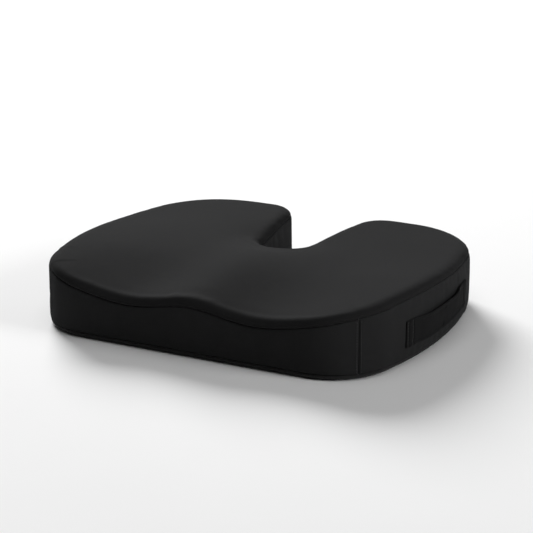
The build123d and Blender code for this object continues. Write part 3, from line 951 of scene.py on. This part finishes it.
def cut_panel(cover, points, name, seam_distance, settings, material):
    """One panel of the cover, as a sheet with its own thickness."""
    chosen = [face for face, panel in zip(cover.faces, cover.panels) if panel == name]
    used = sorted({v for face in chosen for v in face})
    number = {v: k for k, v in enumerate(used)}
    faces = [[number[v] for v in face] for face in chosen]
    obj = new_piece(name, points[used], faces, material)
    cloth = np.array([cover.cloth[v] for v in used])
    ring_size = cover.rows * cover.count
    if name.endswith("band"):
        columns = np.array([v % cover.count for v in used])
        runs = np.array(cover.stations)[columns]
        if name == "front_band":
            runs[columns == 0] += cover.plan.length
        cloth = np.stack([runs, np.array([cover.points[v][2] for v in used]), np.zeros(len(used))], axis=1)
    edges = []
    for v in used:
        place = cover.edge[v % cover.count] if v < ring_size else cover.points[v][:2]
        edges.append((*place, seam_distance[v]))
    write_vectors(obj, "cloth", cloth)
    write_vectors(obj, "edge", edges)
    smooth = obj.modifiers.new("Smooth", "SUBSURF")
    smooth.levels = smooth.render_levels = 1
    settle(obj)
    gather(obj, settings)
    sheet = obj.modifiers.new("Thickness", "SOLIDIFY")
    sheet.thickness = settings.thickness
    sheet.offset = -1
    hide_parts(REPLACED[name])
    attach(obj, "cushion")
    return obj


class CUSHION_OT_cover(bpy.types.Operator):
    """Swell the cover over its foam and cut it into its sewn panels"""

    bl_idname = "cushion.cover"
    bl_label = "Cover"

    def execute(self, context):
        settings = context.scene.cushion_cover
        cover = Cover(settings)
        points = swell(cover, settings)
        seams = cover.seam_vertices()
        near = KDTree(len(seams))
        for k, v in enumerate(seams):
            near.insert(points[v], k)
        near.balance()
        seam_distance = [near.find(p)[2] for p in points]
        base = tuple(settings.base_colour)
        materials = {
            # The seat's and the bands' knits are one fabric in two colours that differ only as painted light
            # and shade.
            "seat_panel": knit_material("Seat knit", tuple(settings.seat_colour_and_painted_light), 1.1 * MM, 0.035, 0.5),
            "bottom_panel": weave_material("Base weave", base, 0.9 * MM, cloth_coordinates),
        }
        band = knit_material("Band knit", tuple(settings.band_colour_and_painted_light), 1.1 * MM, 0.04, 0.5)
        for name in REPLACED:
            cut_panel(cover, points, name, seam_distance, settings, materials.get(name, band))
        return {"FINISHED"}


# ---------------------------------------------------------------- strap
def wall_offset(tree, plan, run, height):
    """How far a wall's surface stands outside the plan outline at a run and a height."""
    place, out = plan.point(run), plan.normal(run)
    start = Vector((*(place + out * WALL_REACH), height))
    hit = tree.ray_cast(start, Vector((*(-out), 0)))[0]
    return 0.0 if hit is None else WALL_REACH - (hit - start).length


# Cross-section of the strap, round its outer face and back: shares of its height and of its thickness.
STRAP_SECTION = (
    (0.0, 0.35), (0.004, 0.7), (0.02, 0.93), (0.06, 1.0), (0.105, 0.97), (0.122, 0.66), (0.14, 0.62),
    (0.22, 0.72), (0.36, 0.8), (0.5, 0.82), (0.64, 0.8), (0.78, 0.72), (0.86, 0.62), (0.878, 0.66),
    (0.895, 0.97), (0.94, 1.0), (0.98, 0.93), (0.996, 0.7), (1.0, 0.35),
    (0.99, 0.08), (0.94, 0.0), (0.7, 0.0), (0.5, 0.0), (0.3, 0.0), (0.06, 0.0), (0.01, 0.08),
)


def strap_pinch(distance, tab):
    """Thickness of a sewn tab, as a share, at a distance from its outer end, drawn in at its stitches."""
    share = 1.0
    for line in TAB_LINES:
        share -= PINCH[0] * math.exp(-(((distance - line * tab) / PINCH[1]) ** 2))
    share += PUFF[0] * math.exp(-(((distance - 0.5 * tab) / PUFF[1]) ** 2))
    return share * (1 - END_PINCH[0] * math.exp(-distance / END_PINCH[1]))


def strap_half(name, plan, wall, settings, outer_end, middle, tab, heights, material):
    """One half of the strap, from its sewn end to its middle."""
    low, high = heights
    length = abs(middle - outer_end)
    sign = 1 if middle > outer_end else -1
    ring = len(STRAP_SECTION)
    close = [i * MM for i in range(int(tab / MM) + 4)]
    rest = np.linspace(close[-1], length, settings.columns)[1:]
    distances = [*close, *rest]
    points, cloth = [], []
    for distance in distances:
        run = outer_end + sign * distance
        loose = max(0.0, (distance - tab) / (length - tab))
        bow = math.sin(min(1.0, loose * 1.9) * math.pi / 2) ** 1.5
        pinch = strap_pinch(distance, tab) if distance < tab + 4 * MM else 1.0
        place, out = plan.point(run), plan.normal(run)
        sag = settings.sag * bow
        for up, depth in STRAP_SECTION:
            height = low + (high - low) * up - sag
            ruck = 0.25 * MM * noise.noise(Vector((run * 90, height * 40, 1.3))) * (1 - bow * 0.5)
            gap = 0.15 * MM + settings.stand_off * bow * (0.12 + 0.88 * up**1.5)
            if depth > 0.5:
                gap += ruck
            offset = wall_offset(wall, plan, run, height) + gap + STRAP_THICKNESS * depth * pinch
            points.append((*(place + out * offset), height))
            cloth.append((run, height, 0))
    faces = []
    for column in range(len(distances) - 1):
        for k in range(ring):
            a, b = column * ring + k, column * ring + (k + 1) % ring
            face = (a, a + ring, b + ring, b)
            faces.append(face if sign > 0 else face[::-1])
    first = list(range(ring))
    last = [(len(distances) - 1) * ring + k for k in range(ring)]
    faces.append(first if sign > 0 else first[::-1])
    faces.append(last[::-1] if sign > 0 else last)
    obj = new_piece(name, points, faces, material)
    write_vectors(obj, "cloth", cloth)
    for face in obj.data.polygons[-2:]:
        face.use_smooth = False
    shape = bmesh.new()
    shape.from_mesh(obj.data)
    shape.faces.ensure_lookup_table()
    crease = shape.edges.layers.float.new("crease_edge")
    for edge in shape.faces[-1].edges:
        edge[crease] = 1.0
        edge.smooth = False
    bmesh.ops.recalc_face_normals(shape, faces=shape.faces)
    shape.to_mesh(obj.data)
    shape.free()
    smooth = obj.modifiers.new("Smooth", "SUBSURF")
    smooth.levels = smooth.render_levels = 1
    settle(obj)
    return obj


def stitch_row(places, length, radius):
    """Points and faces of a row of stitches, each (middle, direction along the thread, direction out)."""
    points, faces = [], []
    sides = STITCH_SIDES
    for middle, along, out in places:
        side = along.cross(out)
        first = len(points)
        for share, size, rise in STITCH_PROFILE:
            centre = middle + along * (length * share) + out * (radius * rise)
            for k in range(sides):
                turn = 2 * math.pi * k / sides
                points.append(centre + (side * math.cos(turn) + out * math.sin(turn)) * radius * size)
        last = len(STITCH_PROFILE) - 1
        for ring in range(last):
            for k in range(sides):
                a = first + ring * sides + k
                b = first + ring * sides + (k + 1) % sides
                faces.append((a, b, b + sides, a + sides))
        faces.append([first + k for k in range(sides)][::-1])
        faces.append([first + last * sides + k for k in range(sides)])
    return points, faces


def stitches(name, rows, replaced=None):
    """A piece made of rows of stitches, each a list of places and the thread's radius."""
    points, faces = [], []
    for places, radius in rows:
        more, over = stitch_row(places, STITCH_LENGTH, radius)
        faces += [[len(points) + v for v in face] for face in over]
        points += more
    thread = thread_material("Polyester thread", tuple(bpy.context.scene.cushion_cover.thread_colour))
    obj = new_piece(name, points, faces, thread)
    if replaced:
        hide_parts(replaced)
    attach(obj, "cushion")
    return obj


def wall_place(plan, tree, run, height, along):
    """Where a stitch lies on a wall, with its directions along the thread and out."""
    out = plan.normal(run)
    place = plan.point(run) + out * wall_offset(tree, plan, run, height)
    return Vector((*place, height)), along, Vector((*out, 0))


def wall_stitches(plan, tree, run, low, high):
    """Places of an upright row of stitches on a wall."""
    count = int((high - low) / STITCH_PITCH)
    heights = [low + (high - low) * i / count for i in range(count + 1)]
    return [wall_place(plan, tree, run, height, Vector((0, 0, 1))) for height in heights]


class CUSHION_OT_strap(bpy.types.Operator):
    """Sew on the carrying strap, in two halves that bow out with it"""

    bl_idname = "cushion.strap"
    bl_label = "Carrying strap"

    def execute(self, context):
        settings = context.scene.cushion_strap
        # The strap's colour is a share of the bands' colour, which carries painted light and shade.
        shade = tuple(STRAP_SHADE * part for part in context.scene.cushion_cover.band_colour_and_painted_light)
        plan = Plan()
        wall = surface_tree("right_band")
        front_low, front_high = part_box("handle_end_front")
        rear_low, rear_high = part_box("handle_end_rear")
        start = plan.level_with(front_high.x, front_low.y)
        tab = plan.level_with(front_high.x, front_high.y) - start
        end = plan.level_with(rear_low.x, rear_high.y)
        middle = (start + end) / 2
        heights = (front_low.z, front_high.z)
        material = knit_material("Strap knit", shade, 0.9 * MM, 0.03, 0.4)
        halves = (
            ("strap_front_half", start, tab, "handle_end_front"),
            ("strap_rear_half", end, -tab, "handle_end_rear"),
        )
        for name, outer_end, inward, node in halves:
            obj = strap_half(name, plan, wall, settings, outer_end, middle, tab, heights, material)
            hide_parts(node, "handle_strap")
            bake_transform(obj)
        sewn_wall = surface_tree("strap_front_half", "strap_rear_half")
        rows = []
        for outer_end, sign in ((start, 1), (end, -1)):
            for share in TAB_LINES:
                run = outer_end + sign * share * tab
                low, high = heights[0] + 2.5 * MM, heights[1] - 2.5 * MM
                rows.append((wall_stitches(plan, sewn_wall, run, low, high), STRAP_THREAD))
        stitches("strap_stitches", rows, "handle_stitching")
        return {"FINISHED"}


# ---------------------------------------------------------------- stitching, zip and base
class CUSHION_OT_stitching(bpy.types.Operator):
    """Top-stitch the front corner seams and the folded edges beside the zip"""

    bl_idname = "cushion.stitching"
    bl_label = "Stitching"

    def execute(self, context):
        plan = Plan()
        keys = seam_runs(plan)
        walls = surface_tree("front_band", "right_band", "left_front_band")
        rows = []
        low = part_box("seam_stitching")[0].z
        seat = surface_tree("seat_panel")
        for run in (keys[0], keys[5]):
            for aside in (-2.6 * MM, 2.6 * MM):
                inner = plan.point(run + aside) - plan.normal(run + aside) * TOP_ROLL
                high = height_at(seat, *inner) - TOP_SEAM_DROP - 3 * MM
                rows.append((wall_stitches(plan, walls, run + aside, low, high), SEAM_THREAD))
        stitches("corner_stitches", rows, "seam_stitching")
        zip_walls = surface_tree("upper_zip_band", "lower_zip_band")
        slot = (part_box("zip_panel_lower")[1].z - 2.2 * MM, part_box("zip_panel_upper")[0].z + 2.2 * MM)
        count = int((keys[4] - keys[3]) / STITCH_PITCH) - 1
        rows = []
        for height in slot:
            places = []
            for i in range(count):
                run = keys[3] + (i + 1) * STITCH_PITCH
                out = plan.normal(run)
                along = Vector((-out[1], out[0], 0))
                places.append(wall_place(plan, zip_walls, run, height, along))
            rows.append((places, SEAM_THREAD))
        stitches("zip_stitches", rows)
        return {"FINISHED"}


def finish_node(name, material, bevel=0.0):
    """Gives a CAD node its material, and rounds its edges where they are sharp."""
    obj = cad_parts[name]
    obj.data.materials.clear()
    obj.data.materials.append(material)
    if bevel:
        rounding = obj.modifiers.new("Rounded edges", "BEVEL")
        rounding.width = bevel
        rounding.segments = 2
        rounding.limit_method = "ANGLE"
        rounding.harden_normals = True


class CUSHION_OT_zip(bpy.types.Operator):
    """Finish the zip's tapes, teeth, stops, slider and pull"""

    bl_idname = "cushion.zip"
    bl_label = "Zip"

    def execute(self, context):
        tape = weave_material("Zip tape weave", (0.014, 0.014, 0.0145), 0.6 * MM, object_coordinates)
        teeth = moulded_material("Moulded teeth", (0.02, 0.02, 0.021), 0.42, 0.4 * MM)
        for side in ("upper", "lower"):
            finish_node(f"zip_tape_{side}", tape)
            finish_node(f"zip_teeth_{side}", teeth)
        enamel = metal_material("Zip enamel", (0.028, 0.028, 0.03))
        for name in ("zip_end_stops", "zip_slider", "zip_pull"):
            finish_node(name, enamel, 0.18 * MM)
        return {"FINISHED"}


class CUSHION_OT_inside(bpy.types.Operator):
    """Finish the foam core and its liner"""

    bl_idname = "cushion.inside"
    bl_label = "Foam and liner"

    def execute(self, context):
        finish_node("foam_core", foam_material("Open foam", (0.72, 0.71, 0.66)))
        jersey = weave_material("Liner jersey", (0.6, 0.6, 0.6), 0.5 * MM, object_coordinates)
        for half in ("liner_upper", "liner_lower"):
            finish_node(half, jersey)
        return {"FINISHED"}


class CUSHION_OT_grips(bpy.types.Operator):
    """Finish the grip dots under the cushion"""

    bl_idname = "cushion.grips"
    bl_label = "Grip dots"

    def execute(self, context):
        rubber = moulded_material("Grip rubber", (0.022, 0.022, 0.023), 0.5, 0.6 * MM)
        finish_node("grip_dots", rubber, 0.25 * MM)
        return {"FINISHED"}


# ---------------------------------------------------------------- stage
def area_light(name, place, aim, size, power):
    """A round white light at a place, aimed at another."""
    light = bpy.data.lights.new(name, "AREA")
    light.shape = "DISK"
    light.size = size
    light.energy = power
    obj = bpy.data.objects.new(name, light)
    bpy.context.scene.collection.objects.link(obj)
    obj.location = place
    obj.rotation_euler = (Vector(aim) - Vector(place)).to_track_quat("-Z", "Y").to_euler()


def floor_material():
    """Pale matt floor with a faint mottle."""
    material, tree, shader = new_material("pale_floor", FLOOR_COLOUR, 0.9)
    mottle = noise_node(tree, object_coordinates(tree), 6.0, 3.0)
    tint(tree, shader, FLOOR_COLOUR, ramp(tree, mottle, 0.985, 0.03))
    return material


class CUSHION_OT_stage(bpy.types.Operator):
    """Set up the floor, the lights and the camera"""

    bl_idname = "cushion.stage"
    bl_label = "Stage"

    def execute(self, context):
        scene = context.scene
        stage = scene.cushion_stage
        middle = Vector((0, 0, MIDDLE_HEIGHT))

        turns = [2 * math.pi * k / FLOOR_SIDES for k in range(FLOOR_SIDES)]
        height = CAD_BOX[0].z
        ring = [(FLOOR_RADIUS * math.cos(t), FLOOR_RADIUS * math.sin(t), height) for t in turns]
        floor = new_piece("floor", ring, [list(range(FLOOR_SIDES))], floor_material())

        world = bpy.data.worlds.new("studio")
        scene.world = world
        world.use_nodes = True
        tree = world.node_tree
        background = tree.nodes["Background"]
        background.inputs["Color"].default_value = (1, 1, 1, 1)
        glow = tree.nodes.new("ShaderNodeMath")
        glow.operation = "MULTIPLY_ADD"
        path = tree.nodes.new("ShaderNodeLightPath")
        tree.links.new(path.outputs["Is Camera Ray"], glow.inputs[0])
        glow.inputs[1].default_value = BACKDROP - FILL
        glow.inputs[2].default_value = FILL
        tree.links.new(glow.outputs[0], background.inputs["Strength"])

        for name, (place, size) in LIGHTS.items():
            area_light(name, place, middle, size, getattr(stage, f"{name}_power"))

        camera = bpy.data.cameras.new("camera")
        camera.lens = stage.lens
        camera.sensor_width = SENSOR
        camera.clip_end = 50
        eye = bpy.data.objects.new("camera", camera)
        scene.collection.objects.link(eye)
        a, e = stage.azimuth, stage.elevation
        back = Vector((math.sin(a) * math.cos(e), -math.cos(a) * math.cos(e), math.sin(e)))
        eye.location = middle + back * stage.distance
        look = (-back).to_track_quat("-Z", "Y").to_matrix()
        tilt = Matrix.Rotation(stage.aim_up, 3, "X") @ Matrix.Rotation(stage.aim_aside, 3, "Y")
        eye.rotation_mode = "QUATERNION"
        eye.rotation_quaternion = (look @ tilt).to_quaternion()
        scene.camera = eye
        scene.view_settings.view_transform = "Standard"
        return {"FINISHED"}


class CUSHION_PT_panel(bpy.types.Panel):
    """Sidebar panel that lists the cushion's steps"""

    bl_idname = "CUSHION_PT_panel"
    bl_label = "Seat cushion"
    bl_space_type = "VIEW_3D"
    bl_region_type = "UI"
    bl_category = "Cushion"

    def draw(self, context):
        scene = context.scene
        for group in GROUPS:
            box = self.layout.box()
            box.label(text=group.removeprefix("cushion_").capitalize())
            settings = getattr(scene, group)
            for name in settings.__annotations__:
                box.prop(settings, name)
        for step in STEPS:
            self.layout.operator(step.bl_idname)


STEPS = (
    CUSHION_OT_stage,
    CUSHION_OT_cover,
    CUSHION_OT_strap,
    CUSHION_OT_stitching,
    CUSHION_OT_zip,
    CUSHION_OT_inside,
    CUSHION_OT_grips,
)
GROUPS = {
    "cushion_cover": CoverSettings,
    "cushion_strap": StrapSettings,
    "cushion_stage": StageSettings,
}


def register():
    for cls in (*GROUPS.values(), *STEPS, CUSHION_PT_panel):
        bpy.utils.register_class(cls)
    for name, group in GROUPS.items():
        setattr(bpy.types.Scene, name, PointerProperty(type=group))


def unregister():
    for name in GROUPS:
        delattr(bpy.types.Scene, name)
    for cls in reversed((*GROUPS.values(), *STEPS, CUSHION_PT_panel)):
        bpy.utils.unregister_class(cls)


def main():
    register()
    bpy.ops.cushion.stage()
    bpy.ops.cushion.cover()
    bpy.ops.cushion.strap()
    bpy.ops.cushion.stitching()
    bpy.ops.cushion.zip()
    bpy.ops.cushion.inside()
    bpy.ops.cushion.grips()


if __name__ == "__main__":
    main()
